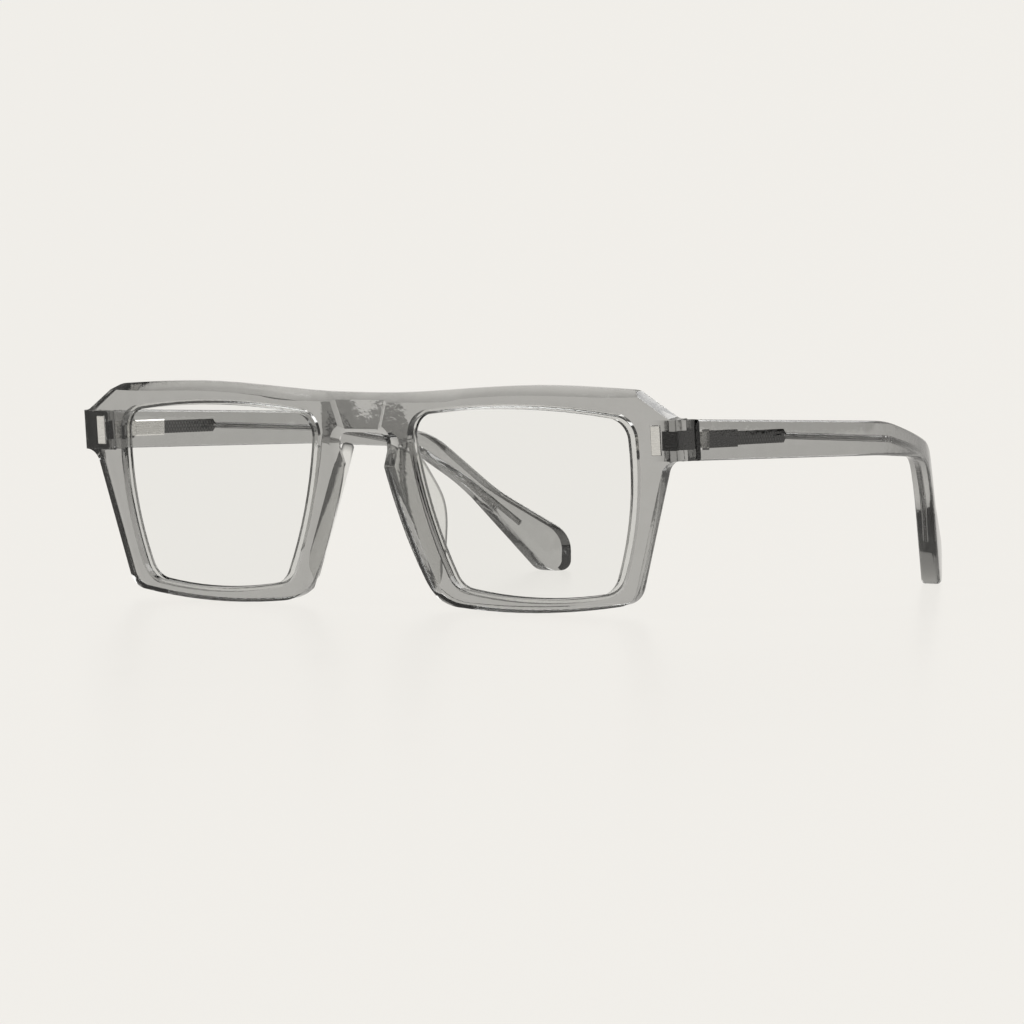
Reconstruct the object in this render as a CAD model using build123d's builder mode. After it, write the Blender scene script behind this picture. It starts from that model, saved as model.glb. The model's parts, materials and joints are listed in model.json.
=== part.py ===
"""Square acetate eyeglasses: a bevelled keyhole front, two sprung temples and everything that joins them.

Millimetres. +Z is up and the front looks along -Y. The glasses stand open on a flat surface, on their
rims and temple tips, and the origin is on that surface in the middle of the glasses' outline.
"""
import os
from math import asin, cos, hypot, radians, sin, tan

from build123d import *

# Overall sizes
front_width = 141.6
front_height = 43.0
overall_depth = 137.0
face_tilt = 5.3
bow_radius = 715.0
rim_thickness = 3.8
overrun = 2.0

# Outline of the front: places are shares of half the width and of the height
brow_shares = ((0.141, 0.9617), (0.338, 0.9826), (0.563, 1.0))
brow_middle_share = 0.958
brow_corner_shares = (0.866, 0.984)
brow_end_slope = -0.06
shoulder_inset = 1.4
waist_inset = 3.0
lower_corner_shares = (0.844, 0.053)
sole_low_share = 0.479
nose_corner_shares = (0.224, 0.028)
end_piece_drop = 5.95
end_piece_height = 7.7
brow_corner_radius = 3.0
shoulder_radius = 2.5
waist_radius = 3.4
lower_corner_radius = 4.5
nose_corner_radius = 10.0

# Brow bevel: heights of the outline and of the bevel's lower line at stations across the front
bevel_shares = ((-0.338, 0.9826, 0.943), (-0.141, 0.9617, 0.9222), (0.0, 0.958, 0.92),
                (0.141, 0.9617, 0.9222), (0.338, 0.9826, 0.943), (0.563, 1.0, 0.961), (0.86, 0.984, 0.958), (1.02, 0.974, 0.956))
bevel_depth = 2.0

# Keyhole nose opening
bridge_height = 7.5
keyhole_width = 11.4
notch_width = 9.4
notch_drop = 6.5
notch_step = 3.1
nose_side_shares = (0.1296, 0.318)
keyhole_radius = 2.3
notch_radius = 1.2
nose_bevel_width = 2.6
nose_bevel_depth = 0.9
bridge_bevel_share = 0.68
splay_angle = 32.2

# Shallow scoop across the bridge, which widens upward
scoop_width = 9.6
scoop_spread = 0.33
scoop_depth = 0.55
scoop_slope_width = 1.1

# Lens openings and lenses
opening_inset = 10.75
temporal_rim = 10.35
brow_rim = 4.3
opening_bottom = 2.6
opening_corner_shares = ((0.005, 0.945), (0.993, 0.945), (0.902, 0.046), (0.192, 0.049))
opening_side_shares = ((0.528, 1.0), (0.993, 0.5), (0.528, 0.0), (0.067, 0.48))
opening_radii = (4.4, 4.4, 5.2, 4.8)
groove_depth = 0.9
groove_width = 1.5
groove_setback = 1.3
lens_clearance = 0.04
back_edge_radius = 1.0
brow_edge_radius = 0.7
radius_shares = (1.0, 0.8, 0.6, 0.4)
edge_shares = (0.1, 0.5, 0.9)

# End pieces, where the temples close against the front
joint_depth = 9.7
end_piece_thickness = 4.4
end_piece_flare = 3.2
flare_shares = (0.72, 0.35)
end_piece_edge_radius = 0.6

# Nose pads
pad_height_share = 0.465
pad_side = 6.7
pad_lean = 21.8
pad_reach = 9.6
pad_top = 11.6
pad_drop = 17.2
pad_crown_share = 0.135
pad_top_shares = ((0.44, 0.905), (0.66, 0.73), (0.83, 0.43), (1.0, 0.0))
pad_low_shares = ((0.982, 0.295), (0.866, 0.58), (0.80, 0.81))
pad_toe_share = 0.74
pad_thickness = 2.4
pad_edge_radius = 0.8

# Plaques on the end pieces
plaque_width = 2.0
plaque_height = 5.7
plaque_thickness = 0.7
plaque_proud = 0.12
plaque_inset = 4.6
plaque_pin_radius = 0.45
plaque_pin_length = 1.4
plaque_pin_spacing = 3.4
plaque_edge = 0.15

# Hinge
hinge_inset = 3.3
hinge_setback = 1.7
knuckle_radius = 1.35
front_knuckle_height = 1.1
middle_knuckle_height = 1.3
knuckle_clearance = 0.05
screw_radius = 0.7
screw_clearance = 0.03
screw_head_radius = 1.05
screw_head_height = 0.45
screw_slot_width = 0.3
screw_slot_depth = 0.25
root_width = 2.9
root_depth = 3.0
leaf_width = 2.2
joint_clearance = 0.12

# Spring housing, slider, spring and stop
housing_length = 9.5
housing_height = 3.2
housing_width = 2.4
housing_front_gap = 3.7
housing_proud = 0.4
housing_edge = 0.25
housing_front_wall = 1.4
housing_back_wall = 0.8
neck_width = 1.9
neck_height = 2.9
neck_clearance = 0.04
spring_bore_radius = 0.98
rod_radius = 0.5
rod_clearance = 0.05
rod_end_margin = 0.3
stop_clearance = 0.06
stop_thickness = 0.6
spring_wire_radius = 0.13
spring_clearance = 0.05
spring_turns = 7

# Temples
temple_thickness = 4.0
temple_height = 7.8
temple_inset = 1.4
temple_straight = 57.5
temple_bow_radius = 95.0
temple_ear_turn = 26.6
temple_edge_radius = 0.7
temple_top_shares = ((0.538, 0.949), (0.763, 0.81), (0.874, 0.475), (1.0, 0.21))
temple_top_radii = (60.0, 15.0, 40.0, 6.5)
temple_foot = 5.0
temple_foot_radii = (2.2, 3.5)
temple_low_shares = ((0.83, 0.5), (0.735, 0.732), (0.52, 0.768))
temple_low_radii = (45.0, 18.0, 150.0)
temple_heel_share = 0.79
temple_end_bevel = 0.5
relief_clearance = 0.12

# Core wire
wire_radius = 0.62
wire_head_length = 17.3
wire_head_height = 2.55
wire_head_width = 1.1
wire_head_inset = 0.1
wire_taper = 0.9
wire_shares = ((0.553, 0.852), (0.731, 0.755), (0.83, 0.536), (0.919, 0.28))
wire_bend_radius = 20.0

# Places worked out from the sizes
half_width = front_width / 2
tilt = radians(face_tilt)
brow_reach = bevel_shares[3][2] * front_height * tan(tilt)
face_y = brow_reach - overall_depth / 2
face_up = Vector(0, -sin(tilt), cos(tilt))
face_back = Vector(0, cos(tilt), sin(tilt))
face = Plane(origin=(0, face_y, 0), x_dir=(1, 0, 0), z_dir=-face_back)
section = Plane(origin=face.origin - face_up * overrun, x_dir=(1, 0, 0), z_dir=face_up)
side_sag = half_width**2 / (2 * bow_radius)
through = rim_thickness + joint_depth + side_sag
end_piece_top = front_height - end_piece_drop
end_piece_bottom = end_piece_top - end_piece_height
hinge_z = (end_piece_top + end_piece_bottom) / 2
joint_y = face_y + joint_depth / cos(tilt) - hinge_z * tan(tilt)
hinge_x = half_width - hinge_inset
hinge_y = joint_y + hinge_setback
knuckle_stack = middle_knuckle_height + 2 * knuckle_clearance + 2 * front_knuckle_height
temple_reach = overall_depth / 2 - joint_y
temple_top = hinge_z + temple_height / 2
temple_x = half_width - temple_inset
temple_inside = temple_x - temple_thickness / 2
housing_y = hinge_y + housing_front_gap
housing_x = temple_inside - housing_proud + housing_width / 2
cavity_length = housing_length - housing_front_wall - housing_back_wall
stop_back = housing_y + housing_length - housing_back_wall - rod_end_margin
butt = Plane(origin=(0, joint_y, hinge_z) + face_back * joint_clearance, x_dir=(1, 0, 0), z_dir=face_back)
opening_width = half_width - opening_inset - temporal_rim
opening_height = front_height - opening_bottom - brow_rim
keyhole_height = brow_middle_share * front_height - bridge_height
notch_height = keyhole_height - notch_drop
nose_notch = (notch_width / 2, notch_height)
nose_side = (nose_side_shares[0] * half_width, nose_side_shares[1] * front_height)
nose_corner = (nose_corner_shares[0] * half_width, nose_corner_shares[1] * front_height)


def on_front(x, z):
    """Where the face drawing holds the point of the bowed front that has this place across and height."""
    return (x, z / cos(tilt) - x**2 / (2 * bow_radius) * tan(tilt))


def front_share(shares):
    """A point of the bowed front, from shares of half its width and of its height."""
    return on_front(shares[0] * half_width, shares[1] * front_height)


def temple_share(shares):
    """A point of the temple's side outline: back from the joint, and up from the surface it stands on."""
    return (joint_y + shares[0] * temple_reach, shares[1] * temple_top)


def band_x(y):
    """How far out the middle of the temple's thickness is at this distance along the glasses."""
    past = y - joint_y - temple_straight
    turn = radians(temple_ear_turn)
    bowed = min(max(past, 0), temple_bow_radius * sin(turn))
    inward = temple_bow_radius - (temple_bow_radius**2 - bowed**2)**0.5
    return temple_x - inward - max(past - bowed, 0) * tan(turn)


def soften(outline, corners, radii):
    """Rounds the given corners of a drawing in progress, each with its own radius."""
    for corner, radius in zip(corners, radii):
        fillet(outline.vertices().sort_by_distance(corner)[0], radius)


def bent_sheet(near, far):
    """The bowed sheet between two depths behind the face, over the whole height of the front."""
    with BuildPart() as sheet:
        with BuildSketch(section):
            with Locations((0, bow_radius)):
                Circle(bow_radius - near)
                Circle(bow_radius - far, mode=Mode.SUBTRACT)
            Rectangle(front_width + 2 * overrun, 2 * (far + side_sag + overrun), mode=Mode.INTERSECT)
        extrude(amount=front_height + 2 * overrun)
    return sheet.part


def front_outline():
    """Half of the front's outline with its share of the keyhole, drawn on the face."""
    top = [front_share(shares) for shares in brow_shares]
    middle = front_share((0, brow_middle_share))
    brow_corner = front_share(brow_corner_shares)
    shoulder = on_front(half_width - shoulder_inset, end_piece_top)
    outer_top = on_front(half_width, end_piece_top)
    outer_bottom = on_front(half_width, end_piece_bottom)
    waist = on_front(half_width - waist_inset, end_piece_bottom)
    lower_corner = front_share(lower_corner_shares)
    low = front_share((sole_low_share, 0))
    keyhole = on_front(keyhole_width / 2, keyhole_height)
    step = on_front(keyhole_width / 2, notch_height + notch_step)
    notch = on_front(*nose_notch)
    corner = on_front(*nose_corner)
    with BuildSketch(face) as outline:
        with BuildLine():
            brow = Spline(middle, *top, brow_corner, tangents=((1, 0), (1, brow_end_slope)))
            Polyline(brow_corner, shoulder, outer_top, outer_bottom, waist, lower_corner)
            ThreePointArc(lower_corner, low, corner)
            ThreePointArc(corner, on_front(*nose_side), notch)
            Polyline(notch, step, keyhole, (0, keyhole[1]), middle)
        make_face()
        soften(outline, (brow_corner, shoulder, waist, lower_corner, corner, notch, keyhole),
               (brow_corner_radius, shoulder_radius, waist_radius, lower_corner_radius, nose_corner_radius,
                notch_radius, keyhole_radius))
    return outline.sketch


def opening_outline(grow=0.0):
    """The right lens opening, drawn on the face and grown all round."""
    def place(shares):
        across = opening_inset - grow + shares[0] * (opening_width + 2 * grow)
        return on_front(across, opening_bottom - grow + shares[1] * (opening_height + 2 * grow))

    corners = [place(shares) for shares in opening_corner_shares]
    sides = [place(shares) for shares in opening_side_shares]
    with BuildSketch(face) as outline:
        with BuildLine():
            for number, corner in enumerate(corners):
                ThreePointArc(corner, sides[number], corners[(number + 1) % 4])
        make_face()
        soften(outline, corners, [radius + grow for radius in opening_radii])
    return outline.sketch


def nose_outline(depth, side, wall, top):
    """The nose opening at a depth behind the face, with its sides, keyhole walls and top moved outward."""
    def place(across, height, out, rise):
        x, v = on_front(across, height)
        return (x + out, v + rise)

    notch = place(*nose_notch, side, 0)
    flank = place(*nose_side, side, 0)
    corner = place(*nose_corner, side, 0)
    step = place(keyhole_width / 2, notch_height + notch_step, wall, 0)
    keyhole = place(keyhole_width / 2, keyhole_height, wall, top)
    below = (2 * corner[0] - flank[0], 2 * corner[1] - flank[1])
    with BuildSketch(face.offset(-depth)) as outline:
        with BuildLine():
            ThreePointArc(below, flank, notch)
            Polyline(notch, step, keyhole, (0, keyhole[1]), (0, below[1]), below)
        make_face()
        notch_round = max(notch_radius - side / 2, notch_radius / 4)
        soften(outline, (notch, keyhole), (notch_round, keyhole_radius + top))
    return outline.sketch


def prism(outline):
    """A straight bar with this outline, which passes through the whole depth of the front."""
    with BuildPart() as bar:
        extrude(outline, amount=through, both=True)
    return bar.part


def on_back(edge):
    """Whether an edge lies on the back of the bowed sheet."""
    def past_back(point):
        local = face.to_local_coords(point)
        return abs(hypot(local.X, bow_radius + local.Z) - bow_radius + rim_thickness)

    return max(past_back(edge @ share) for share in edge_shares) < lens_clearance


def above_end_piece(edge):
    """Whether a back edge is on the brow or on the slope from it down to the end piece."""
    across, rise, _ = face.to_local_coords(edge @ 0.5)
    outward = abs(across) > half_width - 2 * end_piece_flare - waist_radius
    sloping = outward and rise > end_piece_top + back_edge_radius
    return on_back(edge) and (rise > brow_middle_share * front_height or sloping)


def below_end_piece(edge):
    """Whether a back edge is on the outer side or the sole of the rim."""
    across, rise, _ = face.to_local_coords(edge @ 0.5)
    sole = rise < opening_bottom - back_edge_radius - lens_clearance and abs(across) > nose_corner[0]
    outside = abs(across) > opening_inset + opening_width + back_edge_radius
    return on_back(edge) and (sole or outside and rise < end_piece_bottom - back_edge_radius)


def up_side(edge):
    """Whether an edge runs up the outer side of an end piece, where the side meets the face."""
    ends = (edge @ 0, edge @ 1)
    outward = min(abs(end.X) for end in ends)
    deepest = max(-face.to_local_coords(end).Z for end in ends)
    upright = edge.length > end_piece_height / 2
    return upright and outward > half_width - lens_clearance and deepest < side_sag + lens_clearance


def round_over(body, choice, radius):
    """Rounds the edges that the choice picks, with as much of the radius as fits."""
    for share in radius_shares:
        try:
            fillet(body.edges().filter_by(choice), share * radius)
            return
        except ValueError:
            continue


def runs_along(edge):
    """Whether an edge runs along the temple rather than across its thickness or its butt end."""
    start, end = edge @ 0, edge @ 1
    level = abs(start.Z - end.Z) < lens_clearance and abs(start.X - end.X) > temple_thickness - lens_clearance
    return abs(start.Y - end.Y) > lens_clearance and not level


with BuildPart() as groove:
    add(bent_sheet(groove_setback, groove_setback + groove_width))
    add(prism(opening_outline(groove_depth)), mode=Mode.INTERSECT)

# The cutters that shape the nose side: a bevel at the front, and walls that splay open towards the back
bevel_slope = nose_bevel_width / nose_bevel_depth
splay = tan(radians(splay_angle))
lap = nose_bevel_depth / 8
with BuildPart() as nose_bevel:
    for depth in (-lap, nose_bevel_depth + lap):
        grow = bevel_slope * (nose_bevel_depth - depth)
        add(nose_outline(depth, grow, bridge_bevel_share * grow, bridge_bevel_share * grow))
    loft(ruled=True)
with BuildPart() as nose_splay:
    for depth in (nose_bevel_depth - lap, rim_thickness + side_sag):
        grow = splay * (depth - nose_bevel_depth)
        add(nose_outline(depth, grow, grow, 0))
    loft(ruled=True)

# The cutter of the scoop between the brow bevel and the keyhole
with BuildPart() as bridge_scoop:
    for depth in (-lap, scoop_depth):
        slope = scoop_slope_width * depth / scoop_depth
        low, high = keyhole_height - overrun, front_height + overrun
        foot_x, head_x = [scoop_width / 2 + scoop_spread * (z - keyhole_height) - slope for z in (low, high)]
        with BuildSketch(face.offset(-depth)):
            with BuildLine():
                Polyline((foot_x, low), (head_x, high), (-head_x, high), (-foot_x, low), close=True)
            make_face()
    loft(ruled=True)

# The wedge that bevels the brow, which runs out by itself where the outline falls away
with BuildPart() as brow_bevel:
    for share, brow, line in bevel_shares:
        x, low = front_share((share, line))
        high = front_share((share, brow))[1]
        slope = (high - low) / bevel_depth
        sag = x**2 / (2 * bow_radius)
        reach = bevel_depth + overrun
        with BuildSketch(Plane(origin=face.origin + Vector(x, 0, 0), x_dir=face_back, z_dir=(1, 0, 0))):
            with BuildLine():
                Polyline((sag - overrun, low - slope * overrun), (sag + reach, low + slope * reach),
                         (sag - overrun, low + slope * reach), close=True)
            make_face()
    loft()

# The block behind each end piece, with a flared inner side, cut off square where the temple meets it
with BuildPart() as end_block:
    inner_x = half_width - end_piece_thickness
    foot_x = inner_x - end_piece_flare
    foot_w = rim_thickness + foot_x**2 / (2 * bow_radius)
    flare = (foot_x + flare_shares[0] * end_piece_flare, foot_w + flare_shares[1] * (joint_depth - foot_w))
    with BuildSketch(section):
        with BuildLine():
            ThreePointArc((inner_x, joint_depth), flare, (foot_x, foot_w))
            Polyline((foot_x, foot_w), (foot_x, 0), (half_width, 0), (half_width, joint_depth),
                     (inner_x, joint_depth))
        make_face()
        with Locations((0, bow_radius)):
            Circle(bow_radius - rim_thickness / 2, mode=Mode.INTERSECT)
    extrude(amount=front_height + 2 * overrun)
    with BuildSketch(Plane.XY.offset(end_piece_bottom)):
        Rectangle(front_width + overrun, overall_depth + overrun)
    extrude(amount=end_piece_top - end_piece_bottom, mode=Mode.INTERSECT)

# Hinge leaf of the front: two knuckles on a root that is sunk into the end piece
knuckle_low = hinge_z - knuckle_stack / 2
knuckle_mid = hinge_z - middle_knuckle_height / 2
knuckle_high = hinge_z + middle_knuckle_height / 2 + knuckle_clearance
screw_top = hinge_z + knuckle_stack / 2
with BuildPart() as right_front_hinge:
    with Locations((hinge_x, joint_y - root_depth / 2, hinge_z)):
        Box(root_width, root_depth, knuckle_stack)
    for floor in (knuckle_low, knuckle_high):
        with BuildSketch(Plane.XY.offset(floor)):
            with Locations((hinge_x, hinge_y)):
                Circle(knuckle_radius)
            with Locations((hinge_x, joint_y + hinge_setback / 2)):
                Rectangle(leaf_width, hinge_setback)
        extrude(amount=front_knuckle_height)
    with Locations(Plane(origin=(hinge_x, hinge_y, screw_top))):
        CounterBoreHole(screw_radius, screw_head_radius + screw_clearance, screw_head_height, knuckle_stack)

# Screw through the three knuckles, with its slotted head let into the top one
with BuildPart() as right_hinge_screw:
    with BuildSketch(Plane.XY.offset(knuckle_low)):
        with Locations((hinge_x, hinge_y)):
            Circle(screw_radius)
    extrude(amount=knuckle_stack)
    with BuildSketch(Plane.XY.offset(screw_top - screw_head_height)):
        with Locations((hinge_x, hinge_y)):
            Circle(screw_head_radius)
    extrude(amount=screw_head_height)
    with BuildSketch(Plane.XY.offset(screw_top)):
        with Locations((hinge_x, hinge_y)):
            Rectangle(3 * screw_head_radius, screw_slot_width)
    extrude(amount=-screw_slot_depth, mode=Mode.SUBTRACT)

# Plaque let into the end piece, with its two pins
plaque_x = half_width - plaque_inset
plaque_turn = asin(plaque_x / bow_radius)
plaque_back = face_back * cos(plaque_turn) + Vector(-sin(plaque_turn), 0, 0)
plaque_spot = face.from_local_coords((*on_front(plaque_x, hinge_z), -plaque_x**2 / (2 * bow_radius)))
plaque_seat = Plane(origin=plaque_spot,
                    x_dir=face_up.cross(-plaque_back), z_dir=-plaque_back)
with BuildPart() as right_front_plaque:
    with BuildSketch(plaque_seat.offset(plaque_proud)):
        Rectangle(plaque_width, plaque_height)
    extrude(amount=-plaque_thickness)
    plaque_front = plaque_seat.origin + plaque_seat.z_dir * overrun
    chamfer(right_front_plaque.faces().sort_by_distance(plaque_front)[0].edges(), plaque_edge)
    with BuildSketch(plaque_seat.offset(plaque_proud - plaque_thickness)):
        with GridLocations(0, plaque_pin_spacing, 1, 2):
            Circle(plaque_pin_radius)
    extrude(amount=-plaque_pin_length)

# Half of the front, cut from the bowed sheet, and then the whole of it
with BuildPart() as half_front:
    add(bent_sheet(0, rim_thickness))
    add(prism(front_outline()), mode=Mode.INTERSECT)
    add(prism(opening_outline()), mode=Mode.SUBTRACT)
    fillet(half_front.edges(Select.LAST).filter_by(on_back), back_edge_radius)
    add(nose_bevel.part, mode=Mode.SUBTRACT)
    add(nose_splay.part, mode=Mode.SUBTRACT)

with BuildPart() as front_frame:
    add(half_front.part)
    mirror(half_front.part, about=Plane.YZ)
    round_over(front_frame, above_end_piece, brow_edge_radius)
    round_over(front_frame, below_end_piece, back_edge_radius)
    add(bridge_scoop.part, mode=Mode.SUBTRACT)
    for tool in (brow_bevel.part, groove.part):
        add(tool, mode=Mode.SUBTRACT)
        mirror(tool, about=Plane.YZ, mode=Mode.SUBTRACT)
    add(end_block.part)
    mirror(end_block.part, about=Plane.YZ)
    round_over(front_frame, up_side, end_piece_edge_radius)
    for tool in (right_front_hinge.part, right_front_plaque.part):
        add(tool, mode=Mode.SUBTRACT)
        mirror(tool, about=Plane.YZ, mode=Mode.SUBTRACT)

# Clear lenses, which fill the grooves
with BuildPart() as right_lens:
    add(bent_sheet(groove_setback + lens_clearance, groove_setback + groove_width - lens_clearance))
    add(prism(opening_outline(groove_depth - lens_clearance)), mode=Mode.INTERSECT)

# Clear pads glued behind the rims, on the splay of the nose
pad_turn = radians(splay_angle)
pad_depth = Vector(sin(pad_turn), 0, 0) + face_back * cos(pad_turn)
pad_rise = face_up * cos(radians(pad_lean)) - Vector(sin(radians(pad_lean)), 0, 0)
pad_spot = face.from_local_coords((*on_front(pad_side, pad_height_share * front_height), -nose_bevel_depth))
pad_plane = Plane(origin=pad_spot, x_dir=pad_depth, z_dir=pad_depth.cross(pad_rise).normalized())
with BuildPart() as right_nose_pad:
    with BuildSketch(pad_plane):
        crown = (pad_crown_share * pad_reach, pad_top)
        toe = (pad_toe_share * pad_reach, -pad_drop)
        with BuildLine():
            Spline(crown, *[(share * pad_reach, rise * pad_top) for share, rise in pad_top_shares],
                   *[(share * pad_reach, -drop * pad_drop) for share, drop in pad_low_shares], toe)
            Polyline(toe, (0, -pad_drop), (0, pad_top), crown)
        make_face()
    extrude(amount=pad_thickness)
    fillet(right_nose_pad.edges().filter_by(GeomType.BSPLINE), pad_edge_radius)
    add(bent_sheet(rim_thickness, rim_thickness + pad_reach + pad_top), mode=Mode.INTERSECT)

# Spring housing let into the inner face of the temple: a box bored from the back, with a guide hole in front
with BuildPart() as housing_block:
    with Locations((housing_x, housing_y + housing_length / 2, hinge_z)):
        Box(housing_width, housing_length, housing_height)
    chamfer(housing_block.faces().sort_by(Axis.X)[0].edges(), housing_edge)

with BuildPart() as right_spring_housing:
    add(housing_block.part)
    with BuildSketch(Plane(origin=(housing_x, housing_y + housing_front_wall, hinge_z), z_dir=(0, 1, 0))):
        Circle(spring_bore_radius)
    extrude(amount=cavity_length, mode=Mode.SUBTRACT)
    with BuildSketch(Plane(origin=(housing_x, housing_y, hinge_z), z_dir=(0, 1, 0))):
        Circle(rod_radius + rod_clearance)
    extrude(amount=housing_front_wall, mode=Mode.SUBTRACT)

# Slider: the middle knuckle, its neck and the rod that runs into the housing
neck_x = (hinge_x + housing_x) / 2
neck_length = housing_y - neck_clearance - hinge_y
neck_start = hinge_y + knuckle_radius + joint_clearance
with BuildPart() as right_hinge_slider:
    with BuildSketch(Plane.XY.offset(knuckle_mid)):
        with Locations((hinge_x, hinge_y)):
            Circle(knuckle_radius)
        with Locations((neck_x, hinge_y + neck_length / 2)):
            Rectangle(neck_width, neck_length)
    extrude(amount=middle_knuckle_height)
    with Locations((neck_x, (neck_start + hinge_y + neck_length) / 2, hinge_z)):
        Box(neck_width, hinge_y + neck_length - neck_start, neck_height)
    with BuildSketch(Plane(origin=(housing_x, hinge_y + neck_length, hinge_z), z_dir=(0, 1, 0))):
        Circle(rod_radius)
    extrude(amount=stop_back - hinge_y - neck_length)
    with BuildSketch(Plane.XY.offset(knuckle_mid)):
        with Locations((hinge_x, hinge_y)):
            Circle(screw_radius + screw_clearance)
    extrude(amount=middle_knuckle_height, mode=Mode.SUBTRACT)

# Washer riveted on the end of the rod, which the spring bears on
with BuildPart() as right_spring_stop:
    with BuildSketch(Plane(origin=(housing_x, stop_back - stop_thickness, hinge_z), z_dir=(0, 1, 0))):
        Circle(spring_bore_radius - stop_clearance)
        Circle(rod_radius, mode=Mode.SUBTRACT)
    extrude(amount=stop_thickness)

# Coil spring on the rod, between the housing's front wall and the washer
coil_radius = spring_bore_radius - spring_clearance - spring_wire_radius
coil_start = housing_y + housing_front_wall + spring_wire_radius + spring_clearance
coil_length = stop_back - stop_thickness - spring_wire_radius - spring_clearance - coil_start
with BuildPart() as right_hinge_spring:
    with BuildLine() as coil:
        coil_pitch = coil_length / spring_turns
        Helix(coil_pitch, coil_length, coil_radius, (housing_x, coil_start, hinge_z), (0, 1, 0))
    with BuildSketch(Plane(origin=coil.line @ 0, z_dir=coil.line % 0)):
        Circle(spring_wire_radius)
    sweep()

# Core wire: a flat head behind the housing, then a round wire down to the tip
head_x = housing_x + wire_head_inset
head_start = housing_y + housing_length
head_end = head_start + wire_head_length
with BuildPart() as right_core_wire:
    with Locations((head_x, head_start + wire_head_length / 2, hinge_z)):
        Box(wire_head_width, wire_head_length, wire_head_height)
    chamfer(right_core_wire.faces().sort_by(Axis.Y)[-1].edges().filter_by(Axis.X), wire_taper)
    route = [(head_x, head_end - wire_taper, hinge_z)]
    for y, z in [temple_share(shares) for shares in wire_shares]:
        route.append((band_x(y), y, z))
    with BuildLine() as wire_line:
        FilletPolyline(*route, radius=wire_bend_radius)
    with BuildSketch(Plane(origin=wire_line.line @ 0, z_dir=wire_line.line % 0)):
        Circle(wire_radius)
    sweep()

# Temple: its side outline cut from a band that bows inward behind the ear
with BuildPart() as right_temple:
    with BuildSketch(Plane.XY):
        with BuildLine():
            start = (temple_x + temple_thickness / 2, joint_y - overrun)
            bend = (start[0], joint_y + temple_straight)
            outer_run = Line(start, bend)
            outer_bow = JernArc(bend, (0, 1), temple_bow_radius + temple_thickness / 2, temple_ear_turn)
            outer_end = Line(outer_bow @ 1, outer_bow @ 1 + (outer_bow % 1) * temple_reach / 2)
            bend = (start[0] - temple_thickness, bend[1])
            inner_run = Line((bend[0], start[1]), bend)
            inner_bow = JernArc(bend, (0, 1), temple_bow_radius - temple_thickness / 2, temple_ear_turn)
            inner_end = Line(inner_bow @ 1, inner_bow @ 1 + (inner_bow % 1) * temple_reach / 2)
            Line(outer_end @ 1, inner_end @ 1)
            Line(outer_run @ 0, inner_run @ 0)
        make_face()
    extrude(amount=temple_top + overrun)
    with BuildSketch(Plane.YZ) as side:
        tip = overall_depth / 2
        corners = [*[temple_share(shares) for shares in temple_top_shares], (tip, 0), (tip - temple_foot, 0),
                   *[temple_share(shares) for shares in temple_low_shares]]
        head = (start[1], temple_top)
        heel = (start[1], temple_heel_share * temple_top)
        with BuildLine():
            Polyline(head, (joint_y, head[1]), *corners, (joint_y, heel[1]), heel, close=True)
        make_face()
        soften(side, corners, (*temple_top_radii, *temple_foot_radii, *temple_low_radii))
    extrude(amount=front_width, mode=Mode.INTERSECT)
    fillet(right_temple.edges().filter_by(runs_along), temple_edge_radius)
    split(bisect_by=butt, keep=Keep.TOP)
    chamfer(right_temple.faces().sort_by(Axis.Y)[0].edges(), temple_end_bevel)
    with BuildSketch(Plane.XY.offset(knuckle_low - relief_clearance)):
        with Locations((hinge_x + knuckle_radius + relief_clearance, joint_y - overrun)):
            Rectangle(2 * temple_thickness, housing_y - joint_y + overrun, align=(Align.MAX, Align.MIN))
    extrude(amount=knuckle_stack + 2 * relief_clearance, mode=Mode.SUBTRACT)
    add(housing_block.part, mode=Mode.SUBTRACT)
    add(right_core_wire.part, mode=Mode.SUBTRACT)

# Every piece on the right has a mirrored twin on the left
right_pieces = {"lens": right_lens, "nose_pad": right_nose_pad, "front_plaque": right_front_plaque,
                "front_hinge": right_front_hinge, "hinge_screw": right_hinge_screw,
                "hinge_slider": right_hinge_slider, "spring_stop": right_spring_stop,
                "hinge_spring": right_hinge_spring, "spring_housing": right_spring_housing,
                "core_wire": right_core_wire, "temple": right_temple}
os.makedirs("parts", exist_ok=True)
front_frame.part.label = "front_frame"
export_step(front_frame.part, "parts/front_frame.step")
for name, piece in right_pieces.items():
    piece.part.label = f"right_{name}"
    export_step(piece.part, f"parts/right_{name}.step")
    with BuildPart() as twin:
        mirror(piece.part, about=Plane.YZ)
    twin.part.label = f"left_{name}"
    export_step(twin.part, f"parts/left_{name}.step")
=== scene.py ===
"""Square acetate eyeglasses on a pale studio floor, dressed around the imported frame. Metres."""

import json
from math import cos, radians, sin

import bmesh
import bpy
from mathutils import Matrix, Vector


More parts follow.
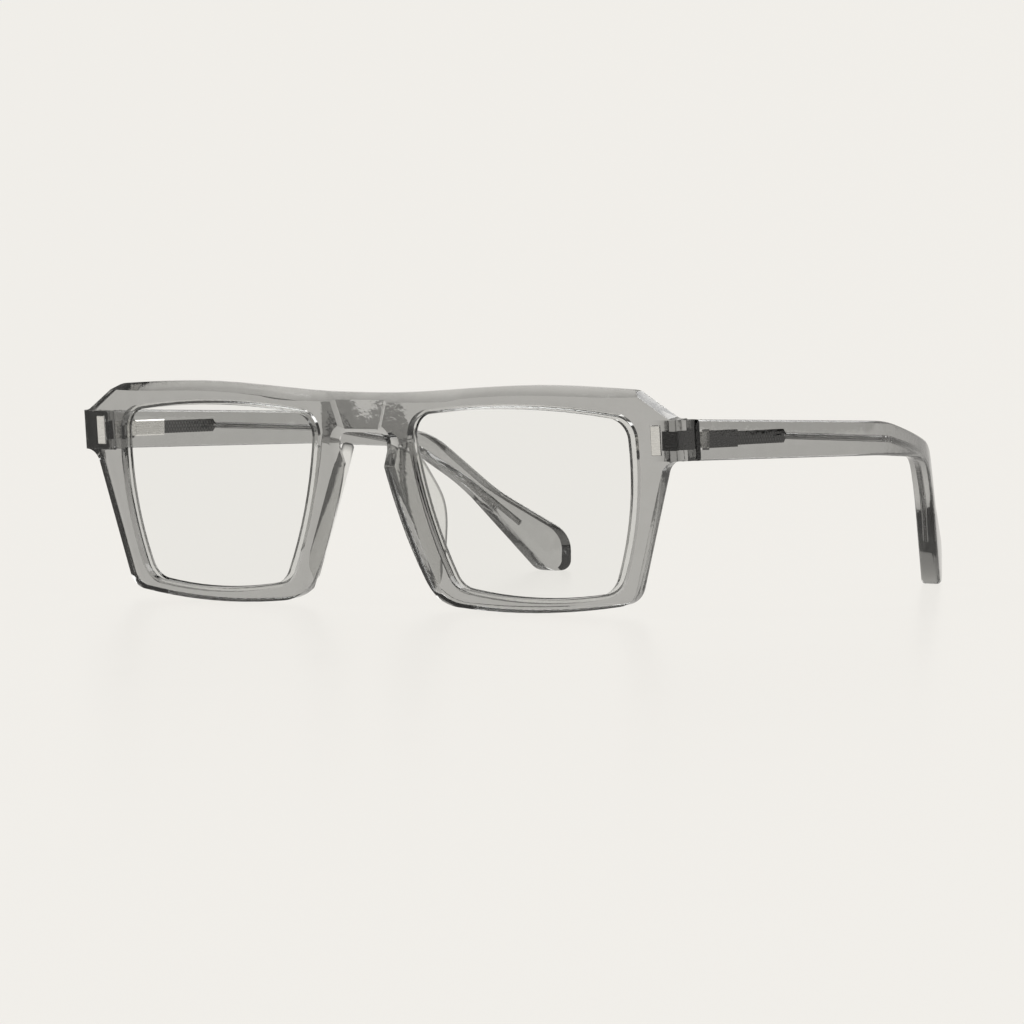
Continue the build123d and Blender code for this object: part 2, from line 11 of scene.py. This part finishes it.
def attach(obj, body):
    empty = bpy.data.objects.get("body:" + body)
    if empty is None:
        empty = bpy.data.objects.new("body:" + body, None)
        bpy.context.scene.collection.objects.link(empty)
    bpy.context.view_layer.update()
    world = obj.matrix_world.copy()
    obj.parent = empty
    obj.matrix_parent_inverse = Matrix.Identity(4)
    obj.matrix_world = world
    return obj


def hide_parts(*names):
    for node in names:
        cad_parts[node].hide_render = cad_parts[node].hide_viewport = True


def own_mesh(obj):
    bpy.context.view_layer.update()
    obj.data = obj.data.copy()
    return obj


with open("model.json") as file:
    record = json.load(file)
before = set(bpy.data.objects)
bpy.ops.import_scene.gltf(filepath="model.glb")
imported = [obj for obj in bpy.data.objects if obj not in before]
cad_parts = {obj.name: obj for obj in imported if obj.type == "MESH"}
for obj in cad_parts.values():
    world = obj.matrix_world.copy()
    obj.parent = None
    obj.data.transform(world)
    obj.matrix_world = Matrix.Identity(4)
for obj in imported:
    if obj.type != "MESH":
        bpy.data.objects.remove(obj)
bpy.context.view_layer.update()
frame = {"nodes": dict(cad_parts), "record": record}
nodes = frame["nodes"]
bodies = frame["record"]["behaviour"]["bodies"]
body_of_node = {node: body for body, names in bodies.items() for node in names}

# Camera, where the photograph was taken from: angles in degrees
IMAGE_WIDTH = 1024
FOCAL_PIXELS = 6085
SENSOR_MM = 36.0
CAMERA_AZIMUTH = 35.07
CAMERA_ELEVATION = 2.47
CAMERA_ROLL = -0.10
CAMERA_DISTANCE = 1.2281
CAMERA_TARGET = Vector((-0.0098, -0.00306, 0.0159))
CAMERA_CLIP = (0.05, 50.0)

# Copies of CAD meshes: how near points are joined, how short an edge goes, and the turn that stays sharp
WELD = 2e-6
SPECK = 1e-6
SHARP_TURN = radians(24)

# Facing is 0 where a surface is seen squarely and 1 where it is seen from the side
FACING_BLEND = 0.5

# The middle stretch of a noise texture, over which a number or a colour changes
NUMBER_RANGE = (0.3, 0.7)
TINT_STOPS = (0.35, 0.65)

# The colour of reflections on clear pieces and on the floor
WHITE = (1.0, 1.0, 1.0)

# Smoke acetate
ACETATE_INDEX = 1.50
ACETATE_TINTS = ((0.93, 0.93, 0.92), (0.97, 0.97, 0.965))
ACETATE_DEPTH_COLOR = (0.37, 0.37, 0.365)
ACETATE_DENSITY = 285.0
ACETATE_ROUGHNESS = (0.015, 0.045)
# Painted shade: over these facing values the acetate's colour darkens to this share where it turns away from
# view
ACETATE_PAINTED_SHADE_FACING = (0.50, 0.82)
ACETATE_PAINTED_EDGE_SHADE = 0.04

# Clear acetate of the nose pads
PAD_INDEX = 1.49
PAD_TINT = (0.90, 0.90, 0.893)
# Painted shade: a dark outline where the pad is seen from the side, with its colour, the facing over which
# it comes in, and its share
PAD_PAINTED_OUTLINE_COLOR = (0.16, 0.16, 0.16)
PAD_PAINTED_OUTLINE_FACING = (0.35, 0.75)
PAD_PAINTED_OUTLINE_SHARE = 0.95
PAD_ROUGHNESS = (0.03, 0.10)

# Lenses
LENS_INDEX = 1.45
LENS_TINT = (0.965, 0.967, 0.965)
LENS_ROUGHNESS = (0.01, 0.05)

# Metals: their colours, how dark the lines of the grain are beside them, and the painted shade in the
# grooves of the knurl
SILVER = (0.80, 0.79, 0.76)
SILVER_ROUGHNESS = (0.16, 0.30)
SCREW_STEEL = (0.52, 0.51, 0.50)
SCREW_ROUGHNESS = (0.25, 0.40)
GRAIN_SHADE = 0.8
KNURLED_STEEL = (0.55, 0.54, 0.53)
KNURL_ROUGHNESS = (0.28, 0.5)
KNURL_GROOVE_PAINTED_SHADE = 0.45
KNURL_TURN = 35
KNURL_SCALE = 420.0
KNURL_WAVER = 0.4

# Floor, which curves up into a backdrop: its own Y points away from the camera
FLOOR_COLOR = (0.875, 0.855, 0.815)
FLOOR_HALF_WIDTH = 3.0
FLOOR_FRONT = -3.0
FLOOR_BACK = 1.2
CURVE_RADIUS = 0.6
CURVE_STEPS = 14
BACKDROP_RISE = 1.4
GLOW_STRENGTH = 1.05
GLOW_SHARE = 0.93
PATCH_START = (0.02, 0.25)
PATCH_EDGE = (0.32, 0.5)
MIRROR_SHARE = 0.08
MIRROR_FADE = (0.3, 0.7)
MIRROR_ROUGHNESS = (0.20, 0.26)

# World: its strength behind the glasses and in front of them, and the directions between which it changes
WORLD_COLOR = (0.885, 0.870, 0.832)
WORLD_BEHIND = 1.0
WORLD_IN_FRONT = 0.03
WORLD_CHANGE = (-0.9, -0.35)

# Lamps: place, width and height, and power in watts
LAMPS = {
    "key": ((-0.9, -1.2, 1.5), (1.2, 0.8), 11.0),
    "fill": ((1.4, -0.6, 0.9), (0.8, 1.2), 5.0),
    "rim": ((0.2, 1.6, 1.2), (1.6, 0.6), 7.0),
}


class Value:
    """A number among a shader's nodes: an expression on it adds its Math nodes."""

    def __init__(self, shader, socket):
        self.shader = shader
        self.socket = socket

    def math(self, operation, *numbers):
        return self.shader.value("Math", dict(enumerate(numbers)), operation=operation)

    def __mul__(self, other):
        return self.math("MULTIPLY", self, other)

    def __rmul__(self, other):
        return self.math("MULTIPLY", other, self)

    def __sub__(self, other):
        return self.math("SUBTRACT", self, other)

    def __rsub__(self, other):
        return self.math("SUBTRACT", other, self)

    def __abs__(self):
        return self.math("ABSOLUTE", self)

    def either(self, other):
        """The larger of two masks."""
        return self.math("MAXIMUM", self, other)


class Shader:
    """The nodes of a material or a world."""

    def __init__(self, owner, output):
        owner.use_nodes = True
        self.owner = owner
        self.tree = owner.node_tree
        self.tree.nodes.clear()
        self.out = self.node(output)

    def node(self, kind, inputs=None, stops=(), **settings):
        """Adds a node: its settings and its ramp's stops come first, then its sockets' values or links."""
        new = self.tree.nodes.new("ShaderNode" + kind)
        for key, setting in settings.items():
            setattr(new, key, setting)
        for index, (position, color) in enumerate(stops):
            new.color_ramp.elements[index].position = position
            new.color_ramp.elements[index].color = (*color, 1.0)
        for key, given in (inputs or {}).items():
            self.put(new.inputs[key], given)
        return new

    def put(self, socket, given):
        """Links a socket to a node's first output, a socket or a Value, or else sets its value."""
        if isinstance(given, bpy.types.Node):
            given = given.outputs[0]
        elif isinstance(given, Value):
            given = given.socket
        if isinstance(given, bpy.types.NodeSocket):
            self.tree.links.new(given, socket)
        elif socket.type == "RGBA":
            socket.default_value = (*given, 1.0)
        else:
            socket.default_value = given

    def value(self, kind, inputs=None, output=0, **settings):
        """A node's number, ready for sums."""
        return Value(self, self.node(kind, inputs, **settings).outputs[output])

    def place(self):
        return self.node("TexCoord").outputs["Object"]

    def facing(self):
        return self.value("LayerWeight", {"Blend": FACING_BLEND}, output="Facing")

    def shine(self, index):
        """The share of light that the outside of a clear piece reflects. Its inner side reflects none."""
        outside = 1.0 - self.value("NewGeometry", output="Backfacing")
        return self.value("Fresnel", {"IOR": index}) * outside

    def noise(self, scale, detail, roughness=0.5, stretch=None):
        where = self.place()
        if stretch:
            where = self.node("Mapping", {"Vector": where, "Scale": stretch})
        return self.value("TexNoise", {"Vector": where, "Scale": scale, "Detail": detail,
                                       "Roughness": roughness})

    def ramp(self, factor, start, end, low, high, **settings):
        """A number that goes from low to high while the factor goes from start to end."""
        return self.value("MapRange", {"Value": factor, "From Min": start, "From Max": end,
                                       "To Min": low, "To Max": high}, **settings)

    def spread(self, texture, low, high):
        """A number that follows a texture between two values."""
        return self.ramp(texture, *NUMBER_RANGE, low, high)

    def tint(self, texture, first, second):
        """A colour that follows a texture between two colours."""
        return self.node("ValToRGB", {"Fac": texture}, stops=zip(TINT_STOPS, (first, second)))

    def bump(self, height, strength, distance):
        return self.node("Bump", {"Height": height, "Strength": strength, "Distance": distance})

    def mix(self, share, first, second):
        return self.node("MixShader", {0: share, 1: first, 2: second})

    def finish(self, surface, volume=None):
        self.put(self.out.inputs["Surface"], surface)
        if volume:
            self.put(self.out.inputs["Volume"], volume)
        return self.owner


def material(name):
    return Shader(bpy.data.materials.new(name), "OutputMaterial")


def darker(color, share):
    return tuple(share * channel for channel in color)


def acetate():
    """Smoke-grey translucent acetate, polished, with a faint cloud and ripple, and painted shade where it
    turns away.
    """
    s = material("smoke_acetate")
    cloud = s.noise(scale=260, detail=3)
    fine = s.noise(scale=2600, detail=2)
    ripple = s.bump(s.noise(scale=900, detail=3), strength=0.05, distance=0.0003)
    # Painted shade: the base colour darkens where the surface turns away from view
    painted_edge_shade = s.ramp(s.facing(), *ACETATE_PAINTED_SHADE_FACING, 1.0, ACETATE_PAINTED_EDGE_SHADE)
    shade = s.node("MixRGB", {0: 1.0, 1: s.tint(cloud, *ACETATE_TINTS), 2: painted_edge_shade}, blend_type="MULTIPLY")
    body = s.node("BsdfPrincipled", {"Base Color": shade, "Roughness": s.spread(fine, *ACETATE_ROUGHNESS),
                                     "IOR": ACETATE_INDEX, "Transmission Weight": 1.0, "Normal": ripple})
    depth = s.node("VolumeAbsorption", {"Color": ACETATE_DEPTH_COLOR, "Density": ACETATE_DENSITY})
    return s.finish(body, depth)


def clear_acetate():
    """Water-clear acetate of the nose pads: light passes straight, and a painted dark outline is drawn at
    the rim of the shape.
    """
    s = material("clear_acetate")
    fine = s.noise(scale=700, detail=3)
    # Painted shade: a dark outline where the pad turns away from view
    edge = s.ramp(s.facing(), *PAD_PAINTED_OUTLINE_FACING, 0.0, PAD_PAINTED_OUTLINE_SHARE)
    painted_outline = s.mix(edge, s.node("BsdfTransparent", {"Color": PAD_TINT}),
                 s.node("BsdfTransparent", {"Color": PAD_PAINTED_OUTLINE_COLOR}))
    gloss = s.node("BsdfGlossy", {"Color": WHITE, "Roughness": s.spread(fine, *PAD_ROUGHNESS),
                                  "Normal": s.bump(fine, strength=0.25, distance=0.0004)})
    return s.finish(s.mix(s.shine(PAD_INDEX), painted_outline, gloss))


def clear_lens():
    """Clear lens: what is behind shows straight through, with a reflection that grows at grazing angles."""
    s = material("clear_lens")
    smudge = s.noise(scale=90, detail=4)
    through = s.node("BsdfTransparent", {"Color": LENS_TINT})
    gloss = s.node("BsdfGlossy", {"Color": WHITE, "Roughness": s.spread(smudge, *LENS_ROUGHNESS)})
    return s.finish(s.mix(s.shine(LENS_INDEX), through, gloss))


def metal(name, color, roughness, grain, stretch):
    """Nickel silver or steel with a fine directional grain."""
    s = material(name)
    lines = s.noise(grain, detail=4, roughness=0.6, stretch=stretch)
    shade = s.tint(lines, darker(color, GRAIN_SHADE), color)
    return s.finish(s.node("BsdfPrincipled", {"Base Color": shade, "Metallic": 1.0,
                                              "Roughness": s.spread(lines, *roughness),
                                              "Normal": s.bump(lines, strength=0.08, distance=0.0001)}))


def knurled(name, color):
    """Steel of the flat wire heads, with a plain diamond knurl whose grooves carry painted shade."""
    s = material(name)
    lines = []
    for turn in (KNURL_TURN, -KNURL_TURN):
        where = s.node("Mapping", {"Vector": s.place(), "Rotation": (radians(turn), 0, 0)})
        lines.append(s.value("TexWave", {"Vector": where, "Scale": KNURL_SCALE, "Distortion": KNURL_WAVER},
                             output="Fac", bands_direction="Y"))
    cross = lines[0] * lines[1]
    # Painted shade: the knurl's grooves are darkened in the base colour
    shade = s.tint(cross, darker(color, KNURL_GROOVE_PAINTED_SHADE), color)
    return s.finish(s.node("BsdfPrincipled", {"Base Color": shade, "Metallic": 1.0,
                                              "Roughness": s.spread(cross, *KNURL_ROUGHNESS),
                                              "Normal": s.bump(cross, strength=0.5, distance=0.0001)}))


def pale_floor():
    """A floor that keeps its colour for the camera and in reflections, and still takes shadows.

    Light that has passed through acetate sees it pale in a patch behind the glasses and as lit elsewhere.
    """
    s = material("pale_floor")
    across, along, height = (Value(s, socket) for socket in s.node("SeparateXYZ", {0: s.place()}).outputs)
    behind = s.ramp(along, *PATCH_START, 0.0, 1.0, interpolation_type="SMOOTHSTEP")
    through = s.value("LightPath", output="Is Transmission Ray") * behind
    for way in (abs(across), height):
        through = through * s.ramp(way, *PATCH_EDGE, 1.0, 0.0)
    seen = s.value("LightPath", output="Is Camera Ray").either(s.value("LightPath", output="Is Glossy Ray"))
    lit = s.node("BsdfDiffuse", {"Color": FLOOR_COLOR})
    glow = s.node("Emission", {"Color": FLOOR_COLOR, "Strength": GLOW_STRENGTH})
    dull = s.mix(seen.either(through) * GLOW_SHARE, lit, glow)
    grain = s.noise(scale=60, detail=3)
    mirror = s.node("BsdfGlossy", {"Color": WHITE, "Roughness": s.spread(grain, *MIRROR_ROUGHNESS)})
    return s.finish(s.mix(s.ramp(along, *MIRROR_FADE, MIRROR_SHARE, 0.0), dull, mirror))


def dress(node, finish):
    """Gives a CAD node its material."""
    mesh = nodes[node].data
    mesh.materials.clear()
    mesh.materials.append(finish)


def solid_copy(node, finish, name):
    """A joined, smooth-shaded copy of a CAD node, which light can pass through, in place of that node."""
    mesh = nodes[node].data.copy()
    mesh.name = name
    work = bmesh.new()
    work.from_mesh(mesh)
    bmesh.ops.remove_doubles(work, verts=work.verts, dist=WELD)
    bmesh.ops.dissolve_degenerate(work, edges=work.edges, dist=SPECK)
    bmesh.ops.recalc_face_normals(work, faces=work.faces)
    for edge in work.edges:
        edge.smooth = len(edge.link_faces) == 2 and edge.calc_face_angle(0.0) < SHARP_TURN
    for face in work.faces:
        face.smooth = True
    work.to_mesh(mesh)
    work.free()
    mesh.materials.clear()
    mesh.materials.append(finish)
    piece = bpy.data.objects.new(name, mesh)
    bpy.context.scene.collection.objects.link(piece)
    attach(piece, body_of_node[node])
    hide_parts(node)
    return piece


def sweep_floor():
    """The floor, which turns up into a backdrop behind the glasses."""
    profile = [(FLOOR_FRONT, 0.0)]
    for step in range(CURVE_STEPS + 1):
        angle = radians(90 * step / CURVE_STEPS)
        profile.append((FLOOR_BACK + CURVE_RADIUS * sin(angle), CURVE_RADIUS * (1 - cos(angle))))
    profile.append((FLOOR_BACK + CURVE_RADIUS, CURVE_RADIUS + BACKDROP_RISE))
    verts = [(side, y, z) for y, z in profile for side in (-FLOOR_HALF_WIDTH, FLOOR_HALF_WIDTH)]
    faces = [(2 * i, 2 * i + 1, 2 * i + 3, 2 * i + 2) for i in range(len(profile) - 1)]
    mesh = bpy.data.meshes.new("floor")
    mesh.from_pydata(verts, [], faces)
    for polygon in mesh.polygons:
        polygon.use_smooth = True
    mesh.materials.append(pale_floor())
    piece = bpy.data.objects.new("floor", mesh)
    piece.rotation_euler = (0, 0, radians(CAMERA_AZIMUTH))
    bpy.context.scene.collection.objects.link(piece)


def lamp(name, place, size, power):
    """A soft rectangular lamp that points at the glasses."""
    light = bpy.data.lights.new(name, "AREA")
    light.shape = "RECTANGLE"
    light.size, light.size_y = size
    light.energy = power
    piece = bpy.data.objects.new(name, light)
    piece.location = place
    piece.rotation_euler = (CAMERA_TARGET - Vector(place)).to_track_quat("-Z", "Y").to_euler()
    bpy.context.scene.collection.objects.link(piece)


def studio_world():
    """A soft surrounding, bright behind the glasses and dim in front of them."""
    s = Shader(bpy.data.worlds.new("studio"), "OutputWorld")
    turn = radians(CAMERA_AZIMUTH)
    front = (sin(turn), -cos(turn), 0)
    towards = s.value("VectorMath", {0: s.node("TexCoord").outputs["Generated"], 1: front}, output="Value",
                      operation="DOT_PRODUCT")
    strength = s.ramp(towards, *WORLD_CHANGE, WORLD_BEHIND, WORLD_IN_FRONT, interpolation_type="SMOOTHSTEP")
    return s.finish(s.node("Background", {"Color": WORLD_COLOR, "Strength": strength}))


def camera():
    turn, rise = radians(CAMERA_AZIMUTH), radians(CAMERA_ELEVATION)
    away = Vector((sin(turn) * cos(rise), -cos(turn) * cos(rise), sin(rise)))
    data = bpy.data.cameras.new("photo_camera")
    data.sensor_width = SENSOR_MM
    data.lens = FOCAL_PIXELS / IMAGE_WIDTH * SENSOR_MM
    data.clip_start, data.clip_end = CAMERA_CLIP
    piece = bpy.data.objects.new("photo_camera", data)
    piece.location = CAMERA_TARGET + away * CAMERA_DISTANCE
    look = (-away).to_track_quat("-Z", "Y").to_matrix()
    piece.rotation_euler = (look @ Matrix.Rotation(radians(CAMERA_ROLL), 3, "Z")).to_euler()
    bpy.context.scene.collection.objects.link(piece)
    return piece


smoke = acetate()
clear = clear_acetate()
glass = clear_lens()
silver = metal("nickel_silver", SILVER, SILVER_ROUGHNESS, grain=900, stretch=(1, 1, 8))
knurl = knurled("knurled_steel", KNURLED_STEEL)
steel = metal("screw_steel", SCREW_STEEL, SCREW_ROUGHNESS, grain=1200, stretch=(8, 8, 1))

solid_copy("front_frame", smoke, "acetate_front")
for side in ("right", "left"):
    solid_copy(f"{side}_temple", smoke, f"{side}_acetate_temple")
    solid_copy(f"{side}_nose_pad", clear, f"{side}_clear_pad")
    dress(f"{side}_lens", glass)
    for name in ("front_plaque", "front_hinge", "hinge_slider", "spring_stop", "spring_housing"):
        dress(f"{side}_{name}", silver)
    dress(f"{side}_core_wire", knurl)
    dress(f"{side}_hinge_screw", steel)
    coil = solid_copy(f"{side}_hinge_spring", steel, f"{side}_coil_spring")
    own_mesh(coil)

sweep_floor()
bpy.context.scene.world = studio_world()
for name, (place, size, power) in LAMPS.items():
    lamp(name, place, size, power)
bpy.context.scene.camera = camera()
bpy.context.scene.view_settings.view_transform = "Standard"
